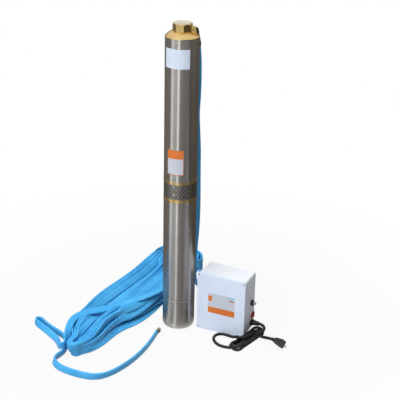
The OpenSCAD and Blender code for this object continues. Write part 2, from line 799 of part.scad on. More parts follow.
module shaft_seal_ring() color("#3a3a3c")
  translate([0, 0, z_ring_top - 10 + run]) ring(bearing_r - 6, motor_shaft_r + fit / 2, 8);

module sand_slinger() color("#1d1d1d")
  translate([0, 0, z_ring_top + run]) turned([
    [motor_shaft_r + fit / 2, 0], [motor_shaft_r + 12, 0], [motor_shaft_r + 13, 2],
    [motor_shaft_r + 4, 6], [motor_shaft_r + fit / 2, 6]
  ]);

module motor_casing() color("#a0a09e") difference() {
  turned([
    [r_motor_bore, cap_h], [r_case, cap_h], [r_case, groove_z - groove_half],
    [r_case - groove_depth, groove_z - groove_half / 2],
    [r_case - groove_depth, groove_z + groove_half / 2],
    [r_case, groove_z + groove_half], [r_case, z_motor_top], [r_motor_bore, z_motor_top],
    [r_motor_bore, groove_z + groove_half], [r_motor_bore - groove_depth, groove_z + groove_half / 2],
    [r_motor_bore - groove_depth, groove_z - groove_half / 2],
    [r_motor_bore, groove_z - groove_half]
  ]);
  around(motor_screw_az) radial(r_motor_bore - cut, z_motor_top - motor_screw_drop) {
    cylinder(r = slot_screw_r - 1 + fit, h = motor_wall + 2 * cut);
    translate([0, 0, cut + motor_wall / 2]) cylinder(r = slot_screw_r + fit, h = motor_wall + cut);
  }
}

module stator_core() color("#6b6d70") translate([0, 0, z_core]) difference() {
  ring(r_motor_fit, stator_bore / 2, core_len);
  around([for (k = [0:stator_slots - 1]) 360 * k / stator_slots])
    translate([slot_pitch_r, 0, -cut]) cylinder(r = slot_r, h = core_len + 2 * cut);
}

module stator_windings() color("#9c5a2a") {
  coil_in = stator_bore / 2 + 3;
  coil_out = slot_pitch_r + slot_r + 6;
  round_in = coil_reach / 13;
  round_out = coil_reach / 6.5;
  around([for (k = [0:stator_slots - 1]) 360 * k / stator_slots])
    translate([slot_pitch_r, 0, z_core - coil_gap - lap])
      cylinder(r = slot_r - fit, h = core_len + 2 * coil_gap + 2 * lap);
  for (z = [z_core - coil_gap - coil_reach, z_core + core_len + coil_gap])
    translate([0, 0, z]) turned([
      [coil_in, round_in], [coil_in + round_in, 0], [coil_out - round_out, 0], [coil_out, round_out],
      [coil_out, coil_reach - round_out], [coil_out - round_out, coil_reach],
      [coil_in + round_in, coil_reach], [coil_in, coil_reach - round_in]
    ]);
}

module rotor_core() color("#55575a")
  translate([0, 0, z_core]) ring(stator_bore / 2 - air_gap, rotor_fit_r + fit / 2, core_len);

module rotor_end_rings() color("#b8bcc0")
  for (z = [z_core - end_ring_h, z_core + core_len])
    translate([0, 0, z]) ring(stator_bore / 2 - end_ring_in, rotor_fit_r + fit / 2, end_ring_h);

module motor_shaft() color("#c4c6c8") {
  foot = z_bracket + 6;
  turned([
    [0, foot], [motor_shaft_r, foot], [motor_shaft_r, z_lower_bearing + bearing_w],
    [rotor_fit_r, z_lower_bearing + bearing_w], [rotor_fit_r, z_upper_bearing],
    [motor_shaft_r, z_upper_bearing], [motor_shaft_r, z_coupling], [spline_r, z_coupling],
    [spline_r, z_shaft_joint - shaft_gap / 2], [0, z_shaft_joint - shaft_gap / 2]
  ]);
}

module at_bearings() {
  for (z = [z_lower_bearing, z_upper_bearing]) translate([0, 0, z + bearing_w / 2]) children();
}

module race_groove() {
  rotate_extrude() translate([ball_pitch_r, 0]) circle(ball_r + fit);
}

module bearing_outer_rings() color("#b4b8bb") at_bearings() difference() {
  translate([0, 0, -bearing_w / 2]) ring(bearing_r, bearing_r - race_t, bearing_w);
  race_groove();
}

module bearing_inner_rings() color("#b4b8bb") at_bearings() difference() {
  translate([0, 0, -bearing_w / 2])
    ring(motor_shaft_r + race_t, motor_shaft_r + fit / 10, bearing_w);
  race_groove();
}

module bearing_balls() color("#d0d3d5") at_bearings() {
  step = 360 / bearing_balls_n;
  cage_r = 0.9;
  for (k = [0:bearing_balls_n - 1])
    rotate(k * step) translate([ball_pitch_r, 0, 0]) sphere(ball_r);
  rotate_extrude() translate([ball_pitch_r, 0]) circle(cage_r, $fn = 16);
}

module lower_bracket() color("#77797b") difference() {
  land = groove_half + 1;
  land_r = r_motor_fit - groove_depth - fit;
  housing_r = bearing_r + 5;
  well_r = motor_shaft_r + 4;
  floor_z = z_bracket + 4;
  web_z = z_lower_bearing + 2;
  vent_r = 3;
  turned([
    [0, z_bracket], [r_motor_fit, z_bracket], [r_motor_fit, groove_z - land],
    [land_r, groove_z - land], [land_r, groove_z + land],
    [r_motor_fit, groove_z + land], [r_motor_fit, z_bracket + bracket_h],
    [r_motor_fit - 6, z_bracket + bracket_h], [r_motor_fit - 10, web_z],
    [housing_r, web_z], [housing_r, z_lower_bearing + bearing_w],
    [bearing_r + fit, z_lower_bearing + bearing_w], [bearing_r + fit, z_lower_bearing],
    [well_r, z_lower_bearing], [well_r, floor_z], [0, floor_z]
  ]);
  around([45, 135, 225, 315]) translate([housing_r + 4, 0, z_bracket - cut])
    cylinder(r = vent_r, h = bracket_h);
}

module diaphragm() color("#1c1c1c") translate([0, 0, z_diaphragm]) turned([
  [0, dome_rise], [bead_r - 6, dome_rise], [bead_r - 2, 0], [r_motor_fit, 0],
  [r_motor_fit, diaphragm_t], [bead_r, diaphragm_t], [bead_r - 4, dome_rise + diaphragm_t],
  [0, dome_rise + diaphragm_t]
]);

module diaphragm_ring() color("#8c8e90") translate([0, 0, z_diaphragm + diaphragm_t])
  ring(r_motor_fit, r_motor_fit - bead_w / 2, z_bracket - z_diaphragm - diaphragm_t);

module bottom_cap() color("#a8a8a6") difference() {
  body_r = r_case - 1.6;
  edge = 4;
  foot_r = body_r - edge;
  lip_h = 4;
  bevel = 1.2;
  wall = 3;
  vent_r = 2;
  vent_at = foot_r / 2;
  round = [for (a = [-90:15:0]) [foot_r + edge * cos(a), edge * (1 + sin(a))]];
  turned(concat([[0, 0]], round, [
    [body_r, cap_h - lip_h], [r_ring, cap_h - lip_h + bevel], [r_ring, cap_h - bevel],
    [r_ring - bevel, cap_h], [r_motor_fit, cap_h],
    [r_motor_fit, z_diaphragm], [r_motor_fit - 6, z_diaphragm], [r_motor_fit - 6, cap_h - lip_h],
    [foot_r - 2, wall], [0, wall]
  ]));
  around([0, 120, 240]) translate([vent_at, 0, -cut]) cylinder(r = vent_r, h = wall + 2 * cut);
}

// Starter box, drawn with its width along +X and its depth along +Y
module at_box() {
  translate([box_x, box_y, 0]) rotate(box_yaw) children();
}

module box_slab(y, d, grow) {
  translate([-grow, y + d, -min(grow, 0)]) rotate([90, 0, 0])
    linear_extrude(d) rounded(box_w + 2 * grow, box_h + min(grow, 0) * 2, box_r);
}

module on_right_wall(at) {
  translate([box_w - box_set, at[0], at[1]]) rotate([0, 90, 0]) children();
}

module box_base() color("#cfd3d8") at_box() difference() {
  back = box_d - lid_d - rim_d;
  inside = box_set + box_wall;
  through = box_wall + 2 * cut;
  union() {
    box_slab(lid_d, rim_d, 0);
    box_slab(lid_d + rim_d - lap, back + lap, -box_set);
  }
  translate([inside, lid_d - cut, inside])
    cube([box_w - 2 * inside, box_d - lid_d - box_wall + cut, box_h - 2 * inside]);
  on_right_wall(switch_at) translate([-rocker_h / 2 - 1, -rocker_w / 2 - 1, -box_wall - cut])
    cube([rocker_h + 2, rocker_w + 2, through]);
  on_right_wall(reset_at) translate([0, 0, -box_wall - cut])
    cylinder(r = button_r + 1 + fit, h = through);
  on_right_wall(gland_at) translate([0, 0, -box_wall - cut]) cylinder(r = lead_d / 2 + 2, h = through);
}

module box_lid() color("#dfe6f2") at_box() difference() {
  box_slab(0, lid_d, 0);
  translate([lid_rim, box_wall, lid_rim])
    cube([box_w - 2 * lid_rim, lid_d, box_h - 2 * lid_rim]);
  lid_corners() translate([0, 0, -cut]) cylinder(r = lid_screw_r + fit, h = lid_screw_in + cut);
}

module lid_corners() {
  for (x = [screw_inset, box_w - screw_inset], z = [screw_inset, box_h - screw_inset])
    translate([x, 0, z]) rotate([-90, 0, 0]) children();
}

module lid_screws() color("#6d7076") at_box() lid_corners() difference() {
  translate([0, 0, lid_screw_in - lid_screw_h]) cylinder(r = lid_screw_r, h = lid_screw_h);
  translate([-lid_screw_r - cut, -0.5, 0]) cube([2 * lid_screw_r + 2 * cut, 1, lid_screw_in - 1.2]);
}

module capacitor() color("#2b2d30") at_box()
  translate([capacitor_x, box_d - box_set - box_wall - capacitor_r - 0.5, box_set + box_wall]) {
    tab_w = 6;
    tab_t = 0.8;
    tab_h = 9;
    cylinder(r = capacitor_r, h = capacitor_h);
    for (x = [-7, 7]) translate([x - tab_w / 2, -tab_t / 2, capacitor_h - lap])
      cube([tab_w, tab_t, tab_h]);
  }

module terminal_block() color("#3a3c3e") at_box()
  translate([block_x, box_d - box_wall - block_size[1], box_h - block_drop]) difference() {
    screw_pitch = 11;
    screw_z = 14;
    cube(block_size);
    for (k = [0:4]) translate([8 + k * screw_pitch, -cut, screw_z])
      rotate([-90, 0, 0]) cylinder(r = 3, h = 8);
  }

module breaker_body() color("#1e1e20") at_box() on_right_wall(reset_at) difference() {
  union() {
    translate([-breaker_size[0] / 2, -breaker_size[1] / 2, -box_wall - breaker_size[2]])
      cube(breaker_size);
    translate([0, 0, -box_wall - lap]) cylinder(r = button_r + 1, h = box_wall + 2 * lap);
    difference() {
      cylinder(r = collar_r, h = collar_h);
      around([0:30:330]) translate([collar_r, 0, -cut])
        cylinder(r = 0.8, h = collar_h + 2 * cut, $fn = 16);
    }
  }
  translate([0, 0, -box_wall - button_back])
    cylinder(r = button_r + run, h = button_back + box_wall + collar_h + cut);
}

module reset_button() color("#8e9094") at_box() on_right_wall(reset_at)
  translate([0, 0, -box_wall - button_back + reset_travel + run]) {
    crown = 2;
    shaft_h = box_wall + button_back - reset_travel - run + collar_h + button_proud - crown;
    cylinder(r = button_r, h = shaft_h);
    translate([0, 0, shaft_h - lap]) cylinder(r1 = button_r, r2 = button_r - 1.5, h = crown + lap);
  }

module switch_body() color("#e4e4e0") at_box() on_right_wall(switch_at) difference() {
  wall = 0.7;
  union() {
    translate([-switch_h / 2, -switch_w / 2, 0]) linear_extrude(frame_t) rounded(switch_h, switch_w, 2);
    translate([-rocker_h / 2 - wall, -rocker_w / 2 - wall, -switch_d])
      cube([rocker_h + 2 * wall, rocker_w + 2 * wall, switch_d + lap]);
  }
  translate([-rocker_h / 2 + 1 - run, -rocker_w / 2 + 1 - run, -rocker_sink])
    cube([rocker_h - 2 + 2 * run, rocker_w - 2 + 2 * run, rocker_sink + frame_t + cut]);
  rocker_pin(pin_fit);
}

module rocker_pin(gap) {
  reach = rocker_h / 2 + 0.2 + gap;
  trunnion_r = 1.2;
  translate([-reach, 0, 0]) rotate([0, 90, 0]) cylinder(r = trunnion_r + gap, h = 2 * reach);
}

// The rocker turns about an axis across the wall and leans half its swing either way
module rocker() color("#b01c24") at_box() on_right_wall(switch_at) rotate([rocker_swing / 2, 0, 0]) {
  rocker_pin(0);
  rocker_paddle();
}

module rocker_paddle() difference() {
  half = rocker_w / 2 - 2.2;
  wide = rocker_h - 2;
  heel = half * 0.35;
  heel_z = -6;
  top = frame_t + rocker_proud;
  dish_r = 60;
  dish_in = 2;
  translate([-wide / 2, 0, 0]) rotate([90, 0, 90]) linear_extrude(wide)
    polygon([[-half, 0], [-heel, heel_z], [heel, heel_z], [half, 0], [half, top], [-half, top]]);
  translate([-wide, 0, top + dish_r - dish_in]) rotate([0, 90, 0])
    cylinder(r = dish_r, h = 2 * wide, $fn = 96);
}

module box_glands() color("#1b1b1c") at_box() on_right_wall(gland_at) difference() {
  union() {
    cylinder(r = lead_d / 2 + 6, h = gland_nut_h, $fn = 6);
    translate([0, 0, -box_wall - gland_tail])
      cylinder(r = lead_d / 2 + 1.8, h = box_wall + gland_tail + lap);
    translate([0, 0, gland_nut_h - lap])
      cylinder(r1 = lead_d / 2 + 4, r2 = lead_d / 2 + 1.5, h = gland_len - gland_nut_h + lap);
  }
  translate([0, 0, -box_wall - gland_tail - cut])
    cylinder(r = lead_d / 2 + fit, h = box_wall + gland_tail + gland_len + 2 * cut);
}

// Free cords
module drop_cable() color("#2f86d6") sweep(drop_route, flat_section(cable_w, cable_t));

module cable_loop() color("#2f86d6") sweep(loop_route, flat_section(cable_w, cable_t));

module cable_tail() color("#2f86d6") sweep(tail_route, flat_section(cable_w, cable_t));

module cable_hank() color("#2f86d6")
  translate(hank_at) rotate(hank_heading) linear_extrude(hank_h) polygon(hank_outline);

module cable_cores() color("#c9c23a") translate(core_end) rotate(core_heading) {
  spread = [-6, -2, 2, 7];
  reach = [20, 24, 19, 16];
  core_r = 1.9;
  bare = 7;
  for (k = [0:3]) translate([0, 0, (k - 1.5) * cable_w / 5]) rotate([0, 90, spread[k]]) {
    cylinder(r = core_r, h = reach[k], $fn = 24);
    translate([0, 0, reach[k] - lap]) cylinder(r = core_r / 2, h = bare + lap, $fn = 24);
  }
}

module mains_lead() color("#1d1d1f") sweep(lead_route, round_section(lead_d));

module lead_hank() color("#1d1d1f") {
  legs = bundle_route[1] - bundle_route[0];
  feet = bundle_route[2] - bundle_route[1];
  from = atan2(legs[1], legs[0]);
  to = atan2(feet[1], feet[0]);
  across = (from + to) / 2 + 90;
  bend = bundle_r / cos((to - from) / 2) * [cos(across), sin(across)];
  linear_extrude(bundle_h) polygon(concat(
    arc_points(bundle_route[0], bundle_r, from + 90, from + 270), [bundle_route[1] - bend],
    arc_points(bundle_route[2], bundle_r, to - 90, to + 90), [bundle_route[1] + bend]
  ));
}

module lead_tail() color("#1d1d1f") {
  sweep(ring_route, round_section(lead_d));
  sweep(plug_route, round_section(lead_d));
}

module at_plug() {
  translate(plug_at) rotate(plug_yaw) rotate([plug_roll, 0, 0]) children();
}

module mains_plug() color("#171718") at_plug() {
  end = plug_neck + plug_len;
  half = plug_w / 2;
  root = half * 0.62;
  rotate([0, 90, 0]) cylinder(r1 = lead_d / 2 + 0.8, r2 = lead_d / 2 + 2, h = plug_neck + lap);
  translate([0, 0, -plug_t / 2]) linear_extrude(plug_t) polygon([
    [plug_neck, -root], [plug_neck + 5, -root - 1.5], [end - 4, -half], [end, -half + 3],
    [end, half - 3], [end - 4, half], [plug_neck + 5, root + 1.5], [plug_neck, root]
  ]);
}

module plug_pins() color("#b9bcbe") at_plug()
  for (s = [-1, 1]) translate([plug_neck + plug_len / 2 + s * pin_gap / 2, 0, -plug_t / 2 - pin_len])
    cylinder(r = pin_r, h = pin_len);

discharge_head();
rope_eye();
valve_seat();
valve_poppet();
valve_guide();
pump_casing();
casing_screws();
top_bearing_spider();
top_bearing_bush();
impellers();
diffusers();
pump_shaft();
shaft_nut();
suction_bracket();
strainer();
strainer_screws();
shaft_coupling();
cable_guard();
guard_screws();
motor_head();
motor_head_screws();
motor_studs();
shaft_seal_seat();
shaft_seal_ring();
sand_slinger();
lead_gland();
motor_lead();
motor_casing();
stator_core();
stator_windings();
rotor_core();
rotor_end_rings();
motor_shaft();
bearing_outer_rings();
bearing_inner_rings();
bearing_balls();
lower_bracket();
diaphragm();
diaphragm_ring();
bottom_cap();
box_base();
box_lid();
lid_screws();
capacitor();
terminal_block();
breaker_body();
reset_button();
switch_body();
rocker();
box_glands();
drop_cable();
cable_hank();
cable_loop();
cable_tail();
cable_cores();
mains_lead();
lead_hank();
lead_tail();
mains_plug();
plug_pins();
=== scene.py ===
"""Borehole pump with its drop cable and starter box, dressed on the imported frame."""
import json
import math
import random

import bpy
import numpy as np
from mathutils import Matrix, Vector


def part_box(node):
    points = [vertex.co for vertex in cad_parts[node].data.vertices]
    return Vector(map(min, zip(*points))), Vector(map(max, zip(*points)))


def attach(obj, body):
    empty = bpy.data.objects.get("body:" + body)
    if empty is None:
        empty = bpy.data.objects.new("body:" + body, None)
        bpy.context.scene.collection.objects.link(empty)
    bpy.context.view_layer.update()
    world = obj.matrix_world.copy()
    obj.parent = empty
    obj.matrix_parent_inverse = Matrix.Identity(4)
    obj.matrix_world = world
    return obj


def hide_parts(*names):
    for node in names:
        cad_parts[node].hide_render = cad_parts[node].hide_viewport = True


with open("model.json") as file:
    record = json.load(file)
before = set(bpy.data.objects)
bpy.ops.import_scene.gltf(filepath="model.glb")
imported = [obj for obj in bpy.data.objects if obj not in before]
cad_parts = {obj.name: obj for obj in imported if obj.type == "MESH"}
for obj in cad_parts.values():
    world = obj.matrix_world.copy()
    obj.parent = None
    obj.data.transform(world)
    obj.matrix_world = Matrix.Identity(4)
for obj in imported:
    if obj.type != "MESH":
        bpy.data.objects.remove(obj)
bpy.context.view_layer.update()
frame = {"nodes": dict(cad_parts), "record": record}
nodes = frame["nodes"]
MM = 0.001
UP = np.array([0.0, 0.0, 1.0])


# Camera, fitted to the photograph's 400 x 400 frame
CAMERA_AT = (0.045329, -2.870987, 1.683143)
CAMERA_DOWN = 23.806
CAMERA_ROLL = 1.201


def make_camera():
    data = bpy.data.cameras.new("camera")
    data.sensor_width = 36.0
    data.lens = 97.28
    data.shift_x = 0.01073
    data.shift_y = -0.00691
    camera = bpy.data.objects.new("camera", data)
    bpy.context.collection.objects.link(camera)
    pitch = math.radians(90 - CAMERA_DOWN)
    roll = math.radians(CAMERA_ROLL)
    turn = Matrix.Rotation(pitch, 4, "X") @ Matrix.Rotation(roll, 4, "Z")
    camera.matrix_world = Matrix.Translation(CAMERA_AT) @ turn
    bpy.context.scene.camera = camera


make_camera()


# Shared mesh helpers
def new_object(name, verts, faces, smooth=True):
    mesh = bpy.data.meshes.new(name)
    mesh.from_pydata([tuple(v) for v in verts], [], faces)
    mesh.validate()
    mesh.polygons.foreach_set("use_smooth", [smooth] * len(mesh.polygons))
    obj = bpy.data.objects.new(name, mesh)
    bpy.context.collection.objects.link(obj)
    return obj


def unit(v):
    v = np.asarray(v, dtype=float)
    return v / np.linalg.norm(v)


def smooth_step(x):
    x = min(1.0, max(0.0, x))
    return x * x * (3 - 2 * x)


def distances(rows):
    """How far along its line each row's place lies."""
    steps = np.linalg.norm(np.diff(np.asarray(rows)[:, :3], axis=0), axis=1)
    return np.concatenate([[0], np.cumsum(steps)])


SHORTEST_GAP = 1e-6
FINE_STEPS = 24


def spline(rows, step):
    """Rows of numbers, the first three a place in mm, smoothed and spaced evenly along the line."""
    rows = np.asarray(rows, dtype=float)
    reach = np.linalg.norm(np.diff(rows[:, :3], axis=0), axis=1)
    gap = np.sqrt(np.maximum(reach, SHORTEST_GAP))
    slopes = np.zeros_like(rows)
    for i in range(1, len(rows) - 1):
        before = (rows[i] - rows[i - 1]) / gap[i - 1]
        after = (rows[i + 1] - rows[i]) / gap[i]
        slopes[i] = (before * gap[i] + after * gap[i - 1]) / (gap[i - 1] + gap[i])
    slopes[0] = (rows[1] - rows[0]) / gap[0]
    slopes[-1] = (rows[-1] - rows[-2]) / gap[-1]
    fine = []
    for i in range(len(rows) - 1):
        for t in np.linspace(0, 1, FINE_STEPS, endpoint=False):
            h = gap[i]
            a = (1 + 2 * t) * (1 - t) ** 2
            b = t * (1 - t) ** 2
            c = t * t * (3 - 2 * t)
            d = t * t * (t - 1)
            fine.append(a * rows[i] + b * h * slopes[i] + c * rows[i + 1] + d * h * slopes[i + 1])
    fine.append(rows[-1])
    fine = np.array(fine)
    along = distances(fine)
    at = np.linspace(0, along[-1], max(2, int(round(along[-1] / step)) + 1))
    return rows_at(fine, along, at)


def rows_at(rows, along, at):
    """The rows at some distances along their line."""
    return np.stack([np.interp(at, along, rows[:, k]) for k in range(rows.shape[1])], axis=1)


def sweep(name, places, ahead, widths, sections):
    """A closed skin through one section per place, turned to the line and its width direction."""
    verts = []
    for p, t, w, section in zip(places, ahead, widths, sections):
        t = unit(t)
        side = unit(np.cross(t, w))
        wide = np.cross(side, t)
        verts += [(p + x * wide + y * side) * MM for x, y in section]
    n = len(sections[0])
    last = len(places) - 1
    faces = [
        (i * n + k, i * n + (k + 1) % n, (i + 1) * n + (k + 1) % n, (i + 1) * n + k)
        for i in range(last) for k in range(n)
    ]
    faces.append(tuple(range(n - 1, -1, -1)))
    faces.append(tuple(last * n + k for k in range(n)))
    return new_object(name, verts, faces)


def tube(name, rows, section, step):
    """A mesh swept along rows of place and width direction, and its path in metres."""
    rows = np.array(rows, dtype=float)
    for i in range(1, len(rows)):
        if np.dot(rows[i, 3:6], rows[i - 1, 3:6]) < 0:
            rows[i, 3:6] *= -1
    line = spline(rows, step)
    places = line[:, :3]
    ahead = np.gradient(places, axis=0)
    obj = sweep(name, places, ahead, line[:, 3:6], [section] * len(places))
    return obj, places * MM


# Drop cable: one flat ribbon from the guard to its bare cores, in mm as in the part's source
CABLE_W = 21.0
CABLE_T = 6.5
CABLE_STEP = 9.0


def flat_section():
    r = CABLE_T / 2
    flat = CABLE_W / 2 - r
    ends = [math.radians(a) for a in (-90, -60, -30, 0, 30, 60, 90)]
    right = [(flat + r * math.cos(a), r * math.sin(a)) for a in ends]
    left = [(-x, -y) for x, y in right]
    return right + [(flat / 3, r), (-flat / 3, r)] + left + [(-flat / 3, -r), (flat / 3, -r)]


# The hank's own axes: s along it from the tie, u across it to the left, z up
HANK_AT = np.array([-300.0, -190.0, 0.0])
HANK_A = np.array([0.474, 0.8805, 0.0])
HANK_N = np.array([-0.8805, 0.474, 0.0])
COLUMNS = 5
LAYERS = 3
TURNS = LAYERS * COLUMNS
# Turns at the tied front, where each lower layer is drawn in, and at the open back
FRONT_S = -4.0
FRONT_U = -7.0
FRONT_R = 4.0
FRONT_STEP = 3.6
FRONT_INSET = 2.2
FRONT_SHRINK = 0.15
FRONT_REACH = 1.1
FRONT_POINTS = 5
BACK_S = 622.0
BACK_U = 1.0
BACK_R = 26.0
BACK_STEP = 13.5
BACK_FLAT = 0.78
BACK_PINCH = 0.6
BACK_POINTS = 9
# How the strands lie: layers draw in, press together near the tie and stand on edge at the ends
INSET = 8.0
TIED_INSET = 0.35
TIED_TO = 120.0
TIED_OVER = 100.0
TIED_STEP = 11.5
LAYER_GAP = 0.4
FRONT_EDGE = 45.0
FRONT_EDGE_OVER = 42.0
BACK_EDGE = 520.0
BACK_EDGE_OVER = 90.0
# Where a strand moves from slot to slot, and its small differences from the others
SHIFT_FROM = 120.0
SHIFT_OVER = 380.0
EXTRA_LEAN = (-12, 20)
SWAY = 3.0
WAVE = 85.0
PHASES = 6.28
SEED = 7
# Outermost and innermost strands on the hank's two sides, as s and u
OUTER = {
    1: (
        (-2, 10), (30, 27), (60, 47), (100, 63), (142, 68), (201, 79), (243, 84), (289, 84),
        (330, 80), (376, 76), (424, 73), (488, 76), (560, 80), (622, 81),
    ),
    -1: (
        (-2, -25), (20, -38), (45, -45), (80, -49), (125, -49), (171, -51), (204, -64), (247, -77),
        (298, -84), (334, -86), (368, -86), (430, -88), (475, -90), (530, -92), (580, -86), (622, -79),
    ),
}
INNER = {
    1: ((-2, -3), (30, -2), (80, 3), (142, 9), (232, 10), (450, 10), (560, 18), (622, 27)),
    -1: ((-2, -11), (30, -12), (80, -14), (142, -13), (232, -12), (450, -12), (560, -19), (622, -25)),
}
STATIONS = (24, 50, 80, 115, 150, 185, 220, 260, 305, 350, 395, 440, 485, 530, 576)
PACK = 7.2


def hank_place(s, u, z):
    return HANK_AT + s * HANK_A + u * HANK_N + z * UP


def slot(turn):
    """Column and layer of a turn: inwards along the floor, out again on top, then inwards once more."""
    layer, k = divmod(turn, COLUMNS)
    return (k if layer == 1 else COLUMNS - 1 - k), layer


def lie(lean):
    """Half the height of a strand that leans by an angle."""
    return CABLE_W / 2 * math.sin(lean) + CABLE_T / 2 * math.cos(lean)


def level(lean, layer, pinch):
    """Height of a strand; the layers press into each other where the hank is tied."""
    half = lie(lean)
    free_step = 2 * half + LAYER_GAP
    return LAYER_GAP + half + layer * (free_step * (1 - pinch) + TIED_STEP * pinch)


def profile(table, s):
    return float(np.interp(s, [p[0] for p in table], [p[1] for p in table]))


def strand_point(side, s, column, layer, extra_lean, drift):
    """Place and width direction of a strand, which leans as much as the room beside it asks."""
    pinch = smooth_step((TIED_TO - s) / TIED_OVER)
    outer = profile(OUTER[side], s) - side * layer * INSET * (1 - (1 - TIED_INSET) * pinch)
    inner = profile(INNER[side], s)
    spread = abs(outer - inner) / (COLUMNS - 1)
    lean = math.asin(min(1.0, PACK / spread)) + extra_lean
    at_front = smooth_step((FRONT_EDGE - s) / FRONT_EDGE_OVER)
    at_back = smooth_step((s - BACK_EDGE) / BACK_EDGE_OVER)
    upright = max(at_front, at_back)
    lean += (math.pi / 2 - lean) * upright
    u = inner + (outer - inner) * column / (COLUMNS - 1) + drift * (1 - upright)
    wide = math.cos(lean) * HANK_N + math.sin(lean) * UP
    return [*hank_place(s, u, level(lean, layer, pinch)), *wide]


def strand(side, start, end, rng):
    """One strand between the hank's ends, from slot to slot, in the direction of its travel."""
    extra = math.radians(rng.uniform(*EXTRA_LEAN))
    sway = rng.uniform(-SWAY, SWAY)
    phase = rng.uniform(0, PHASES)
    points = []
    for s in STATIONS if side < 0 else reversed(STATIONS):
        t = smooth_step((s - SHIFT_FROM) / SHIFT_OVER)
        column = start[0] + (end[0] - start[0]) * t
        layer = start[1] + (end[1] - start[1]) * t
        wave = sway * math.sin(s / WAVE + phase)
        points.append(strand_point(side, s, column, layer, extra, wave))
    return points


def arc(turn, front):
    """The turn round one end of the hank, on edge."""
    column, layer = slot(turn)
    points = []
    if front:
        below = LAYERS - 1 - layer
        r = FRONT_R + FRONT_STEP * column * (1 - FRONT_SHRINK * below)
        z = level(math.pi / 2, layer, 1)
        for a in np.linspace(0, math.pi, FRONT_POINTS):
            s = FRONT_S + FRONT_INSET * below - FRONT_REACH * r * math.sin(a)
            u = FRONT_U - FRONT_INSET * below + r * math.cos(a)
            points.append([*hank_place(s, u, z), *UP])
        return points
    r = BACK_R + BACK_STEP * column
    z = level(math.pi / 2, layer, BACK_PINCH)
    for a in np.linspace(0, math.pi, BACK_POINTS):
        s = BACK_S + BACK_FLAT * r * math.sin(a)
        u = BACK_U - r * math.cos(a)
        points.append([*hank_place(s, u, z), *UP])
    return points


def leaning(x, y, z, azimuth, slope):
    """A place with its width direction, given as an azimuth and a slope in degrees."""
    a = math.radians(azimuth)
    e = math.radians(slope)
    return [x, y, z, math.cos(a) * math.cos(e), math.sin(a) * math.cos(e), math.sin(e)]


GUARD_TOP = 877.0
EXIT = (27.794, 44.480, GUARD_TOP)
# Places along the cable in turn, each with the azimuth and slope of its width
DROP = (
    (*EXIT, 148, 0), (EXIT[0], EXIT[1], 889, 148, 0), (28.3, 46.5, 898, 148, 0), (30.5, 54.5, 903, 148, 0),
    (33, 62, 898, 148, 0), (34.5, 65, 889, 148, 0), (37, 67, 876, 148, 0), (41.5, 68, 850, 148, 0),
    (44.5, 69, 815, 147, 0), (46, 71, 760, 146, 0), (45, 73, 700, 146, 0), (43, 75, 650, 147, 0),
    (45, 77, 600, 148, 0), (48, 79, 540, 149, 0), (49, 83, 470, 150, 0), (50, 89, 400, 152, 0),
    (50.5, 98, 330, 154, 0), (48.5, 111, 260, 156, 0), (44.5, 127, 190, 158, 0), (42, 146, 125, 160, 5),
    (44, 168, 66, 160, 15), (49, 194, 30, 160, 30), (56, 222, 14, 158, 55), (63, 252, 11.5, 156, 75),
)
# The last strand lies on top, arches over the edge and comes down to the tie: s, u, z and lean
TOP_STRAND = (
    (586, 12, 60, 130), (545, -8, 62, 150), (500, -34, 61, 165), (455, -60, 59, 172), (410, -75, 58, 176),
    (361, -78, 58, 176), (293, -57, 58, 172), (245, -35, 58, 168), (205, -14, 58, 160), (168, 10, 58, 148),
    (136, 32, 60, 150), (108, 44, 62, 156), (80, 49, 61, 160), (56, 46, 57, 158), (34, 39, 50, 148),
    (15, 31, 43, 128), (-1, 25, 37, 106), (-13, 19, 33, 92),
)
LOOP_TURN = ((-22, 18, 33), (-27, 24, 31), (-24, 32, 27))
LOOP = (
    (-343, -176, 22, 32, 70), (-354, -142, 15.5, 32, 58), (-375, -106, 11.5, 32, 54),
    (-400, -74, 11.2, 34, 56), (-420, -50, 11.3, 36, 66), (-430, -35, 11.5, 20, 84),
    (-427, -24, 11.5, 0, 90), (-415, -26, 11.5, 0, 92), (-400, -46, 11.5, 0, 92),
    (-381, -69, 11.5, 0, 92), (-361, -90, 11.5, 0, 90), (-344, -108, 11.5, 0, 90),
    (-332, -126, 11.5, 0, 90), (-324, -146, 11.5, 0, 90), (-321, -167, 11.5, 0, 90),
    (-322, -186, 11.5, 0, 90), (-327, -203, 11.5, 0, 88),
)
TAIL = (
    (-335, -218, 11.5, 0, 84), (-344, -232, 11.5, 0, 78), (-348, -246, 11.5, 0, 72),
    (-344, -262, 11.5, 0, 68), (-332, -280, 11.5, 0, 66), (-313, -296, 11.5, 0, 65),
    (-289, -310, 11.5, 0, 65), (-261, -322, 11.5, 0, 66), (-233, -329, 11.5, 0, 68),
    (-206, -325, 11.5, 0, 72), (-178, -306, 11.5, 0, 76), (-154, -280, 11.5, 0, 78),
    (-129, -246, 11.5, 0, 80), (-107, -207, 11.5, 0, 80), (-89, -167, 11.5, 0, 80),
    (-75, -127, 11.5, 0, 82), (-63, -86, 11.5, 0, 84),
)


def cable_rows():
    rng = random.Random(SEED)
    rows = [leaning(*p) for p in DROP]
    for turn in range(TURNS):
        rows += arc(turn, False)
        if turn == TURNS - 1:
            break
        rows += strand(1, slot(turn), slot(turn), rng)
        rows += arc(turn, True)
        rows += strand(-1, slot(turn), slot(turn + 1), rng)
    for s, u, z, lean in TOP_STRAND:
        a = math.radians(lean)
        rows.append([*hank_place(s, u, z), *(-math.cos(a) * HANK_N + math.sin(a) * UP)])
    rows += [[*hank_place(*p), *UP] for p in LOOP_TURN]
    rows += [leaning(*p) for p in LOOP + TAIL]
    return rows


cable, cable_path = tube("drop_cable_ribbon", cable_rows(), flat_section(), CABLE_STEP)
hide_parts("drop_cable", "cable_hank", "cable_loop", "cable_tail")
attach(cable, "root")


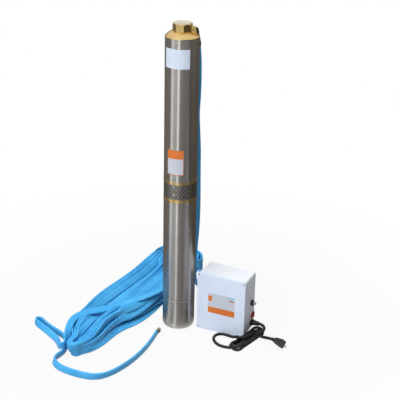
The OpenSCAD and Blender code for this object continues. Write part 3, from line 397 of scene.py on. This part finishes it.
# A black sleeve over the cable where it folds over at the head: painted shade on the fold, which lies in
# shade there
SLEEVE_FROM = 2.0
SLEEVE_TO = 92.0
SLEEVE_STEP = 3.0
SLEEVE_LINE_STEP = 2.0
SLEEVE_SNUG = 0.15
SLEEVE_WALL = 1.35
SLEEVE_TAPER = 9.0


def sleeve_section(share):
    """The dark sleeve's outline, drawn down on to the cable at its ends."""
    grow = SLEEVE_SNUG + SLEEVE_WALL * share
    return [(x + math.copysign(grow, x), y + math.copysign(grow, y)) for x, y in flat_section()]


def make_sleeve():
    """A dark sleeve over the cable's top fold, painted shade there, from one distance along the cable to
    another.
    """
    line = spline([leaning(*p) for p in DROP], SLEEVE_LINE_STEP)
    along = distances(line)
    ahead = np.gradient(line[:, :3], axis=0)
    at = np.arange(SLEEVE_FROM, SLEEVE_TO + SLEEVE_STEP / 2, SLEEVE_STEP)
    sections = []
    for d in at:
        from_end = min(d - SLEEVE_FROM, SLEEVE_TO - d)
        sections.append(sleeve_section(smooth_step(from_end / SLEEVE_TAPER)))
    rows = rows_at(line, along, at)
    return sweep("painted_shade_sleeve", rows[:, :3], rows_at(ahead, along, at), rows[:, 3:6], sections)


sleeve = make_sleeve()
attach(sleeve, "root")


# Mains lead: out of the gland, to and fro in a folded bundle, round a ring and on to the plug
LEAD_D = 9.0
LEAD_SIDES = 14
LEAD_STEP = 4.0
LEAD_START = (
    (234.53, -42.51, 25), (243.66, -46.59, 25), (251, -50.5, 24.5), (256.5, -56, 23), (258.5, -64, 20.5),
    (256, -73, 18), (249, -82, 16),
)
BUNDLE = ((236, -71.5), (222, -88), (207, -108), (192, -127), (178, -142))
# Strands of the bundle in turn: how far to the right of its middle, and the height
FOLDS = ((13.5, 14), (-13.5, 14), (4.5, 14.2), (-13.5, 4.7), (13.5, 4.7), (-4.5, 4.7), (4.5, 4.7))
# One turn of a fold: how far past the bundle's end, share of the half width, share of the rise
FOLD_TURN = (
    (-2, 0.85, 0.2), (8, 1, 0.3), (17.5, 0.71, 0.4), (21, 0, 0.5), (17.5, -0.71, 0.6), (8, -1, 0.7),
    (-2, -0.85, 0.8),
)
FOLD_HALF = 12.5
LOOK_AROUND = 6
# Where the strands are held along the bundle; the first comes in later from the gland
STOPS = (0.2, 0.4, 0.6, 0.8)
FIRST_STOPS = (0.25, 0.5, 0.8)
RING = (
    (162, -151, 4.7), (146, -150, 4.6), (124, -140, 4.6), (110, -119, 4.6), (108, -96, 4.6),
    (117, -80, 4.6), (133, -76, 4.6), (150, -84, 5), (163, -98, 9), (174, -113, 18), (186, -124, 23.5),
)
PLUG_RUN = (
    (199, -122, 23.5), (212, -110, 23.5), (224, -97, 22), (236, -90, 14), (247, -90.5, 8), (258, -99, 10),
    (269, -112.7, 15.5), (280, -123, 19),
)


def bundle_point(t, right, z):
    """A point of the bundle: t runs from 0 at the gland's end to 1 at the ring's."""
    line = np.array(BUNDLE, dtype=float)
    along = distances(line)
    at = t * along[-1]
    before, place, after = rows_at(line, along, [at - LOOK_AROUND, at, at + LOOK_AROUND])
    ahead = unit(after - before)
    place = place + right * np.array([-ahead[1], ahead[0]])
    return np.array([*place, z]), np.array([*ahead, 0.0])


def fold(t, first, second):
    """The turn back at one end of the bundle, wider than its strands where they lie close."""
    (a, za), (b, zb) = first, second
    middle = (a + b) / 2
    half = max(abs(a - b) / 2, FOLD_HALF)
    side = 1 if a > b else -1
    out = 1 if t > 0.5 else -1
    rows = []
    for reach, spread, share in FOLD_TURN:
        place, ahead = bundle_point(t, middle + side * spread * half, za + (zb - za) * share)
        rows.append(list(place + out * reach * ahead))
    return rows


def lead_rows():
    rows = [list(p) for p in LEAD_START]
    for k, (right, z) in enumerate(FOLDS):
        stops = STOPS if k else FIRST_STOPS
        back = k % 2 == 1
        rows += [list(bundle_point(t, right, z)[0]) for t in (reversed(stops) if back else stops)]
        if k + 1 < len(FOLDS):
            rows += fold(0.0 if back else 1.0, FOLDS[k], FOLDS[k + 1])
    rows += [list(p) for p in RING + PLUG_RUN]
    return [[*p, *UP] for p in rows]


def round_section(d, count):
    angles = [2 * math.pi * k / count for k in range(count)]
    return [(d / 2 * math.cos(a), d / 2 * math.sin(a)) for a in angles]


lead, lead_path = tube("mains_lead_cord", lead_rows(), round_section(LEAD_D, LEAD_SIDES), LEAD_STEP)
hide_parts("mains_lead", "lead_hank", "lead_tail")
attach(lead, "root")


# Materials: node-based, with constants set on the shader's own sockets
def linear(colour):
    """A colour written as #rrggbb, as linear values."""
    parts = [int(colour[k:k + 2], 16) / 255 for k in (1, 3, 5)]
    return tuple(c / 12.92 if c <= 0.04045 else ((c + 0.055) / 1.055) ** 2.4 for c in parts) + (1.0,)


class Finish:
    """A material under construction, with its shader and a few node helpers."""

    def __init__(self, name, rough, metal=0.0, **sockets):
        self.material = bpy.data.materials.new(name)
        self.material.use_nodes = True
        self.tree = self.material.node_tree
        self.shader = self.tree.nodes["Principled BSDF"]
        self.shader.inputs["Roughness"].default_value = rough
        self.shader.inputs["Metallic"].default_value = metal
        for key, value in sockets.items():
            self.shader.inputs[key.replace("_", " ")].default_value = value
        self.place = self.add("ShaderNodeTexCoord").outputs["Object"]

    def add(self, kind, **settings):
        node = self.tree.nodes.new(kind)
        for key, value in settings.items():
            setattr(node, key, value)
        return node

    def link(self, out, into):
        self.tree.links.new(out, into)

    def noise(self, scale, detail=3.0, stretch=(1, 1, 1)):
        mapping = self.add("ShaderNodeMapping")
        mapping.inputs["Scale"].default_value = stretch
        self.link(self.place, mapping.inputs["Vector"])
        texture = self.add("ShaderNodeTexNoise")
        texture.inputs["Scale"].default_value = scale
        texture.inputs["Detail"].default_value = detail
        self.link(mapping.outputs["Vector"], texture.inputs["Vector"])
        return texture.outputs["Fac"]

    def ramp(self, fac, stops, blend="LINEAR"):
        node = self.add("ShaderNodeValToRGB")
        band = node.color_ramp
        band.interpolation = blend
        while len(band.elements) < len(stops):
            band.elements.new(0.5)
        for element, (at, colour) in zip(band.elements, stops):
            element.position = at
            element.color = colour
        self.link(fac, node.inputs["Fac"])
        return node.outputs["Color"]

    def between(self, fac, low, high):
        node = self.add("ShaderNodeMapRange")
        node.inputs["To Min"].default_value = low
        node.inputs["To Max"].default_value = high
        self.link(fac, node.inputs["Value"])
        return node.outputs["Result"]

    def colour(self, out):
        self.link(out, self.shader.inputs["Base Color"])

    def roughness(self, out):
        self.link(out, self.shader.inputs["Roughness"])

    def bump(self, height, strength, distance):
        node = self.add("ShaderNodeBump")
        node.inputs["Strength"].default_value = strength
        node.inputs["Distance"].default_value = distance
        self.link(height, node.inputs["Height"])
        self.link(node.outputs["Normal"], self.shader.inputs["Normal"])


def turned_metal(name, dark, light, rough, rings=900.0, aniso=0.6):
    """Metal finished on a lathe, with fine lines round its axis and faint blotches."""
    made = Finish(name, rough, 1.0, Anisotropic=aniso, Anisotropic_Rotation=0.25)
    tangent = made.add("ShaderNodeTangent", direction_type="RADIAL", axis="Z")
    made.link(tangent.outputs["Tangent"], made.shader.inputs["Tangent"])
    lines = made.noise(rings, 2.0, (0.02, 0.02, 1.0))
    blotch = made.noise(14.0, 4.0)
    made.colour(made.ramp(blotch, ((0.3, linear(dark)), (0.7, linear(light)))))
    made.roughness(made.between(lines, rough - 0.07, rough + 0.09))
    made.bump(lines, strength=0.12, distance=0.0002)
    return made.material


def cast_metal(name, dark, light, rough, grain=420.0):
    """Metal as cast or plainly machined, with a fine grain."""
    made = Finish(name, rough, 1.0)
    grains = made.noise(grain, 5.0)
    blotch = made.noise(30.0, 5.0)
    made.colour(made.ramp(blotch, ((0.3, linear(dark)), (0.68, linear(light)))))
    made.roughness(made.between(grains, rough - 0.08, rough + 0.12))
    made.bump(grains, strength=0.18, distance=0.0003)
    return made.material


def moulded(name, dark, light, rough, grain=900.0, depth=0.06, **sockets):
    """Plastic, rubber or ceramic, with a faint grain."""
    made = Finish(name, rough, 0.0, **sockets)
    grains = made.noise(grain, 3.0)
    blotch = made.noise(18.0, 3.0)
    made.colour(made.ramp(blotch, ((0.3, linear(dark)), (0.7, linear(light)))))
    made.roughness(made.between(grains, rough - 0.05, rough + 0.07))
    made.bump(grains, strength=depth, distance=0.0002)
    return made.material


def core_colours():
    """Cores of four colours, one above the other where the cable ends on its edge."""
    made = Finish("core_insulation", 0.4)
    low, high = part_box("cable_cores")
    height = made.add("ShaderNodeSeparateXYZ")
    made.link(made.place, height.inputs["Vector"])
    share = made.add("ShaderNodeMapRange")
    share.inputs["From Min"].default_value = low[2]
    share.inputs["From Max"].default_value = high[2]
    made.link(height.outputs["Z"], share.inputs["Value"])
    colours = ("#2c2d2e", "#8a8577", "#5a5348", "#c3bd3f")
    stops = [(k / len(colours), linear(colour)) for k, colour in enumerate(colours)]
    made.colour(made.ramp(share.outputs["Result"], stops, "CONSTANT"))
    grains = made.noise(700.0)
    made.roughness(made.between(grains, 0.35, 0.48))
    made.bump(grains, strength=0.06, distance=0.0002)
    return made.material


FINISHES = {
    "stainless": turned_metal("stainless", "#b2aea8", "#bdb9b3", 0.31, aniso=0.95),
    "screen_steel": turned_metal("screen_steel", "#84807a", "#918d87", 0.46, aniso=0.3),
    "guard_steel": turned_metal("guard_steel", "#b0ada8", "#bbb8b3", 0.33, aniso=0.4),
    "screw_steel": cast_metal("screw_steel", "#b4b1aa", "#c4c1ba", 0.24),
    "inner_steel": turned_metal("inner_steel", "#8e8e8c", "#a4a4a2", 0.3),
    "bearing_steel": cast_metal("bearing_steel", "#a6a8aa", "#babcbe", 0.15),
    "brass": cast_metal("brass", "#cfae6a", "#e2c58c", 0.27),
    "core_iron": cast_metal("core_iron", "#4b4c4e", "#5f6062", 0.55),
    "copper": cast_metal("copper", "#7d4524", "#96552f", 0.38),
    "aluminium": cast_metal("aluminium", "#a5a7a9", "#b9bbbd", 0.4),
    "pin_nickel": cast_metal("pin_nickel", "#a8a49a", "#c0bcb2", 0.22),
    "stage_plastic": moulded("stage_plastic", "#cfc8b4", "#ddd7c6", 0.45),
    "rubber": moulded("rubber", "#1b1b1b", "#262626", 0.6),
    "ceramic": moulded("ceramic", "#d8d6cf", "#e4e2dc", 0.2),
    "carbon": moulded("carbon", "#252527", "#303032", 0.35),
    "cable_blue": moulded("cable_blue", "#3c9fd9", "#50b1e6", 0.45, 700.0, 0.05),
    "core_insulation": core_colours(),
    "box_plastic": moulded("box_plastic", "#e3e6ec", "#eaedf2", 0.38),
    # The lid's pale blue is partly its own tint and partly painted cool light on its front
    "lid_plastic": moulded("lid_plastic", "#dae4f6", "#e1eaf8", 0.36),
    "black_plastic": moulded("black_plastic", "#161617", "#202022", 0.42),
    "button_grey": moulded("button_grey", "#8d8f92", "#9d9fa2", 0.4),
    "switch_white": moulded("switch_white", "#dcdcd8", "#e6e6e2", 0.3),
    "rocker_red": moulded("rocker_red", "#a5222e", "#b82d38", 0.25),
    "lead_black": moulded("lead_black", "#151517", "#1f1f22", 0.38, 800.0, 0.08),
}

for part in frame["record"]["subparts"]:
    node = nodes[part["node"]]
    finish = FINISHES[part["material_slot"]]
    if not node.material_slots:
        node.data.materials.append(finish)
    for held in node.material_slots:
        held.material = finish
cable.data.materials.append(FINISHES["cable_blue"])
lead.data.materials.append(FINISHES["lead_black"])
# Black rubber on the sleeve: painted shade on the cable's top fold
sleeve.data.materials.append(FINISHES["rubber"])


# Labels, left blank, and the pale cap on the outlet
CASING_R = 48.0
LID_YAW = -24.1
LID_CORNER = np.array([55.4, -30.3, 0.0])
LABEL_GAP = 0.02
LABEL_THICK = 0.12
LABEL_OVER = 0.14
LABEL_COLUMNS = 25


def plate(name, rows, body, material, thick):
    """A thin plate from a grid of places in mm, with its outward directions, closed all round."""
    across = len(rows[0])
    top = [np.array(p) + np.array(n) * thick for row in rows for p, n in row]
    foot = [np.array(p) for row in rows for p, n in row]
    count = len(top)
    faces = []
    for i in range(len(rows) - 1):
        for k in range(across - 1):
            a = i * across + k
            quad = (a, a + 1, a + across + 1, a + across)
            faces.append(quad)
            faces.append(tuple(count + v for v in reversed(quad)))
    down = len(rows) - 1
    rim = [(0, k) for k in range(across - 1)]
    rim += [(i, across - 1) for i in range(down)]
    rim += [(down, k) for k in range(across - 1, 0, -1)]
    rim += [(i, 0) for i in range(down, 0, -1)]
    ring = [i * across + k for i, k in rim]
    for a, b in zip(ring, ring[1:] + ring[:1]):
        faces.append((b, a, count + a, count + b))
    obj = new_object(name, [v * MM for v in top + foot], faces, False)
    obj.data.materials.append(material)
    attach(obj, body)


def curved_label(name, z0, z1, a0, a1, material, lift=0.0):
    """A label on the casing between two heights and two azimuths."""
    rows = []
    for z in (z0, z1):
        row = []
        for a in np.radians(np.linspace(a0, a1, LABEL_COLUMNS)):
            out = np.array([math.cos(a), math.sin(a), 0.0])
            row.append((out * (CASING_R + LABEL_GAP + lift) + z * UP, out))
        rows.append(row)
    plate(name, rows, "root", material, LABEL_THICK)


def lid_label(name, x0, x1, z0, z1, material, lift=0.0):
    """A label on the lid's front, in the box's own width and height."""
    yaw = math.radians(LID_YAW)
    right = np.array([math.cos(yaw), math.sin(yaw), 0.0])
    out = np.array([math.sin(yaw), -math.cos(yaw), 0.0])
    corner = LID_CORNER + out * (LABEL_GAP + lift)
    rows = [[(corner + x * right + z * UP, out) for x in (x0, x1)] for z in (z0, z1)]
    plate(name, rows, "root", material, LABEL_THICK)


label_white = moulded("label_white", "#d3deee", "#dae4f1", 0.35)
label_grey = moulded("label_grey", "#c4c8d2", "#ccd0d9", 0.4)
label_orange = moulded("label_orange", "#da6f20", "#e27a2a", 0.4)
label_blue = moulded("label_blue", "#8fc3ea", "#9ccdf0", 0.4)
label_red = moulded("label_red", "#b8745c", "#c07c64", 0.4)
curved_label("casing_label", 815, 870, -154, -62.5, label_white)
curved_label("casing_band_colour", 503, 578, -138, -79, label_orange)
curved_label("casing_band_label", 505, 552, -136.5, -80.5, label_grey, LABEL_OVER)
lid_label("lid_label", 36.5, 122, 82.5, 128, label_grey)
lid_label("lid_label_band", 36.5, 122, 62.5, 82.5, label_orange)
lid_label("lid_label_mark", 36.5, 49, 102, 119, label_orange, LABEL_OVER)
lid_label("lid_label_corner", 103, 121, 121, 127, label_blue, LABEL_OVER)
lid_label("lid_label_line", 104, 120, 113, 117.6, label_red, LABEL_OVER)


def turned_piece(name, profile_mm, count, material):
    """A piece turned about the pump's axis, from radius and height pairs that start on the axis."""
    verts = [(0.0, 0.0, profile_mm[0][1] * MM)]
    faces = []
    for r, z in profile_mm[1:]:
        for k in range(count):
            a = 2 * math.pi * k / count
            verts.append((r * math.cos(a) * MM, r * math.sin(a) * MM, z * MM))
    for k in range(count):
        faces.append((0, 1 + k, 1 + (k + 1) % count))
    for j in range(len(profile_mm) - 2):
        for k in range(count):
            a = 1 + j * count + k
            b = 1 + j * count + (k + 1) % count
            faces.append((a, a + count, b + count, b))
    faces.append(tuple(range(len(verts) - count, len(verts))))
    obj = new_object(name, verts, faces, True)
    obj.data.materials.append(material)
    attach(obj, "root")


# A flange that lies on the outlet's rim, with a plug that reaches down into the bore
CAP_PROFILE = (
    (0, 933.7), (17.4, 933.7), (18.2, 934.2), (23.2, 934.2), (24.2, 933.6), (24.2, 933.05),
    (19.3, 933.05), (19.2, 924.0),
)
CAP_SIDES = 64
cap_white = moulded("cap_white", "#b4a895", "#c2b7a6", 0.45)
turned_piece("outlet_cap", CAP_PROFILE, CAP_SIDES, cap_white)


# Stage: a white floor that keeps the shadow, a white world, soft lamps and cards for the metal
FLOOR_HALF = 6
FLOOR_Z = -0.0006
CARD_Z = -0.0003
GLOW_Z = -0.0001
# The floor's own white: its share by the pump, where the shadow lies, and further out
FLOOR_NEAR = 0.35
FLOOR_FAR = 1.1
NEAR_SHARE = 0.9
FAR_SHARE = 1.0


def background_rays(tree):
    """A socket that is 1 for rays from the camera, off gloss and through glass."""
    rays = tree.nodes.new("ShaderNodeLightPath")
    seen = rays.outputs["Is Camera Ray"]
    for kind in ("Is Glossy Ray", "Is Transmission Ray"):
        either = tree.nodes.new("ShaderNodeMath")
        either.operation = "MAXIMUM"
        tree.links.new(seen, either.inputs[0])
        tree.links.new(rays.outputs[kind], either.inputs[1])
        seen = either.outputs["Value"]
    return seen


def make_floor():
    h = FLOOR_HALF
    floor = new_object("floor", [(-h, -h, 0), (h, -h, 0), (h, h, 0), (-h, h, 0)], [(0, 1, 2, 3)], False)
    floor.location.z = FLOOR_Z
    made = Finish("floor_white", 0.9)
    made.shader.inputs["Base Color"].default_value = (0.5, 0.5, 0.5, 1)
    made.shader.inputs["Specular IOR Level"].default_value = 0.0
    glow = made.add("ShaderNodeEmission")
    glow.inputs["Color"].default_value = (1, 1, 1, 1)
    reach = made.add("ShaderNodeVectorMath", operation="LENGTH")
    made.link(made.place, reach.inputs[0])
    far = made.add("ShaderNodeMapRange")
    fade = {"From Min": FLOOR_NEAR, "From Max": FLOOR_FAR, "To Min": NEAR_SHARE, "To Max": FAR_SHARE}
    for key, value in fade.items():
        far.inputs[key].default_value = value
    made.link(reach.outputs["Value"], far.inputs["Value"])
    share = made.add("ShaderNodeMath", operation="MULTIPLY")
    made.link(far.outputs["Result"], share.inputs[1])
    made.link(background_rays(made.tree), share.inputs[0])
    mix = made.add("ShaderNodeMixShader")
    made.link(share.outputs["Value"], mix.inputs["Fac"])
    made.link(made.shader.outputs["BSDF"], mix.inputs[1])
    made.link(glow.outputs["Emission"], mix.inputs[2])
    made.link(mix.outputs["Shader"], made.tree.nodes["Material Output"].inputs["Surface"])
    floor.data.materials.append(made.material)


def make_world():
    world = bpy.data.worlds.new("studio")
    world.use_nodes = True
    bpy.context.scene.world = world
    tree = world.node_tree
    soft = tree.nodes["Background"]
    soft.inputs["Color"].default_value = (0.93, 0.96, 1.0, 1)
    soft.inputs["Strength"].default_value = 0.25
    white = tree.nodes.new("ShaderNodeBackground")
    white.inputs["Color"].default_value = (1, 1, 1, 1)
    white.inputs["Strength"].default_value = 1.0
    mix = tree.nodes.new("ShaderNodeMixShader")
    tree.links.new(background_rays(tree), mix.inputs["Fac"])
    tree.links.new(soft.outputs["Background"], mix.inputs[1])
    tree.links.new(white.outputs["Background"], mix.inputs[2])
    tree.links.new(mix.outputs["Shader"], tree.nodes["World Output"].inputs["Surface"])


def lamp(name, place, aim, side, watts, shines):
    """A square lamp, which shows in reflections only if it shines."""
    data = bpy.data.lights.new(name, "AREA")
    data.shape = "RECTANGLE"
    data.size = side
    data.size_y = side
    data.energy = watts
    obj = bpy.data.objects.new(name, data)
    bpy.context.collection.objects.link(obj)
    obj.location = place
    obj.rotation_euler = (Vector(aim) - Vector(place)).to_track_quat("-Z", "Y").to_euler()
    obj.visible_glossy = shines
    return obj


# A card's radii next to the pump, where its level starts to change and where it stands up
CARD_NEAR = 0.07
CARD_BEND = 0.75
CARD_R = 1.3
CARD_TOP = 1.2
CARD_STEPS = 8


def wedge(from_az, to_az, floor_share):
    """Rings of a card that lies on the floor and stands up at its far side."""
    return (
        (CARD_NEAR, CARD_Z, from_az, to_az, floor_share),
        (CARD_BEND, CARD_Z, from_az, to_az, floor_share),
        (CARD_R, CARD_Z, from_az, to_az, 1.0),
        (CARD_R, CARD_TOP, from_az, to_az, 1.0),
    )


def card(name, rings, level_from, level_to, colour=(1.0, 1.0, 1.0)):
    """A card that only reflections show.

    A ring has a radius, a height, two azimuths and a share of the level.
    """
    verts = []
    levels = []
    for radius, z, from_az, to_az, share in rings:
        for t in np.linspace(0, 1, CARD_STEPS + 1):
            a = math.radians(from_az + (to_az - from_az) * t)
            verts.append((radius * math.cos(a), radius * math.sin(a), z))
            levels.append((level_from + (level_to - level_from) * t) * share)
    row = CARD_STEPS + 1
    faces = [
        (j * row + k, (j + 1) * row + k, (j + 1) * row + k + 1, j * row + k + 1)
        for j in range(len(rings) - 1) for k in range(CARD_STEPS)
    ]
    obj = new_object(name, verts, faces, False)
    obj.data.attributes.new("level", "FLOAT", "POINT").data.foreach_set("value", levels)
    made = Finish(name, 1.0)
    glow = made.add("ShaderNodeEmission")
    glow.inputs["Color"].default_value = (*colour, 1)
    level_here = made.add("ShaderNodeAttribute", attribute_name="level")
    made.link(level_here.outputs["Fac"], glow.inputs["Strength"])
    made.link(glow.outputs["Emission"], made.tree.nodes["Material Output"].inputs["Surface"])
    obj.data.materials.append(made.material)
    obj.visible_camera = False
    obj.visible_diffuse = False
    obj.visible_transmission = False
    obj.visible_shadow = False


make_floor()
make_world()
card("card_back_left", wedge(90, 150, 1.0), 0.24, 0.2, (1.0, 0.88, 0.84))
card("card_left", wedge(150, 198, 1.0), 0.26, 0.22, (1.0, 0.94, 0.9))
card("strip_left", wedge(198, 215, 0.6), 1.5, 1.5)
card("card_middle", wedge(215, 245, 0.75), 0.66, 0.62, (0.94, 0.98, 1.0))
card("strip_middle", wedge(245, 256, 0.46), 2.15, 2.15)
card("card_front", wedge(256, 300, 1.3), 0.3, 0.16)
card("card_front_right", wedge(300, 324, 1.3), 0.16, 0.05)
card("card_right", wedge(324, 346, 1.0), 0.07, 0.07, (1.0, 0.9, 0.8))
card("card_back_right", wedge(346, 450, 1.0), 0.13, 0.11, (1.0, 0.84, 0.7))
BOX_GLOW = (
    (0.18, GLOW_Z, 300, 340, 0.1),
    (0.26, GLOW_Z, 300, 340, 1.0),
    (0.5, GLOW_Z, 303, 338, 1.0),
    (0.8, GLOW_Z, 315, 332, 1.2),
    (1.1, GLOW_Z, 323, 327, 0.8),
)
card("box_glow", BOX_GLOW, 0.75, 0.75, (0.95, 0.95, 1.1))
key = lamp("key", place=(-4.0, -7.0, 6.0), aim=(0, 0, 0.4), side=3.0, watts=440, shines=False)
key.data.color = (0.95, 0.98, 1.03)
lamp("top", place=(-1.5, -0.9, 12.0), aim=(0, 0, 0), side=6.75, watts=1150, shines=False)
lamp("glint", place=(-2.4, -2.4, 4.0), aim=(0, 0, 0.6), side=0.6, watts=26, shines=True)
bpy.context.scene.view_settings.view_transform = "Standard"
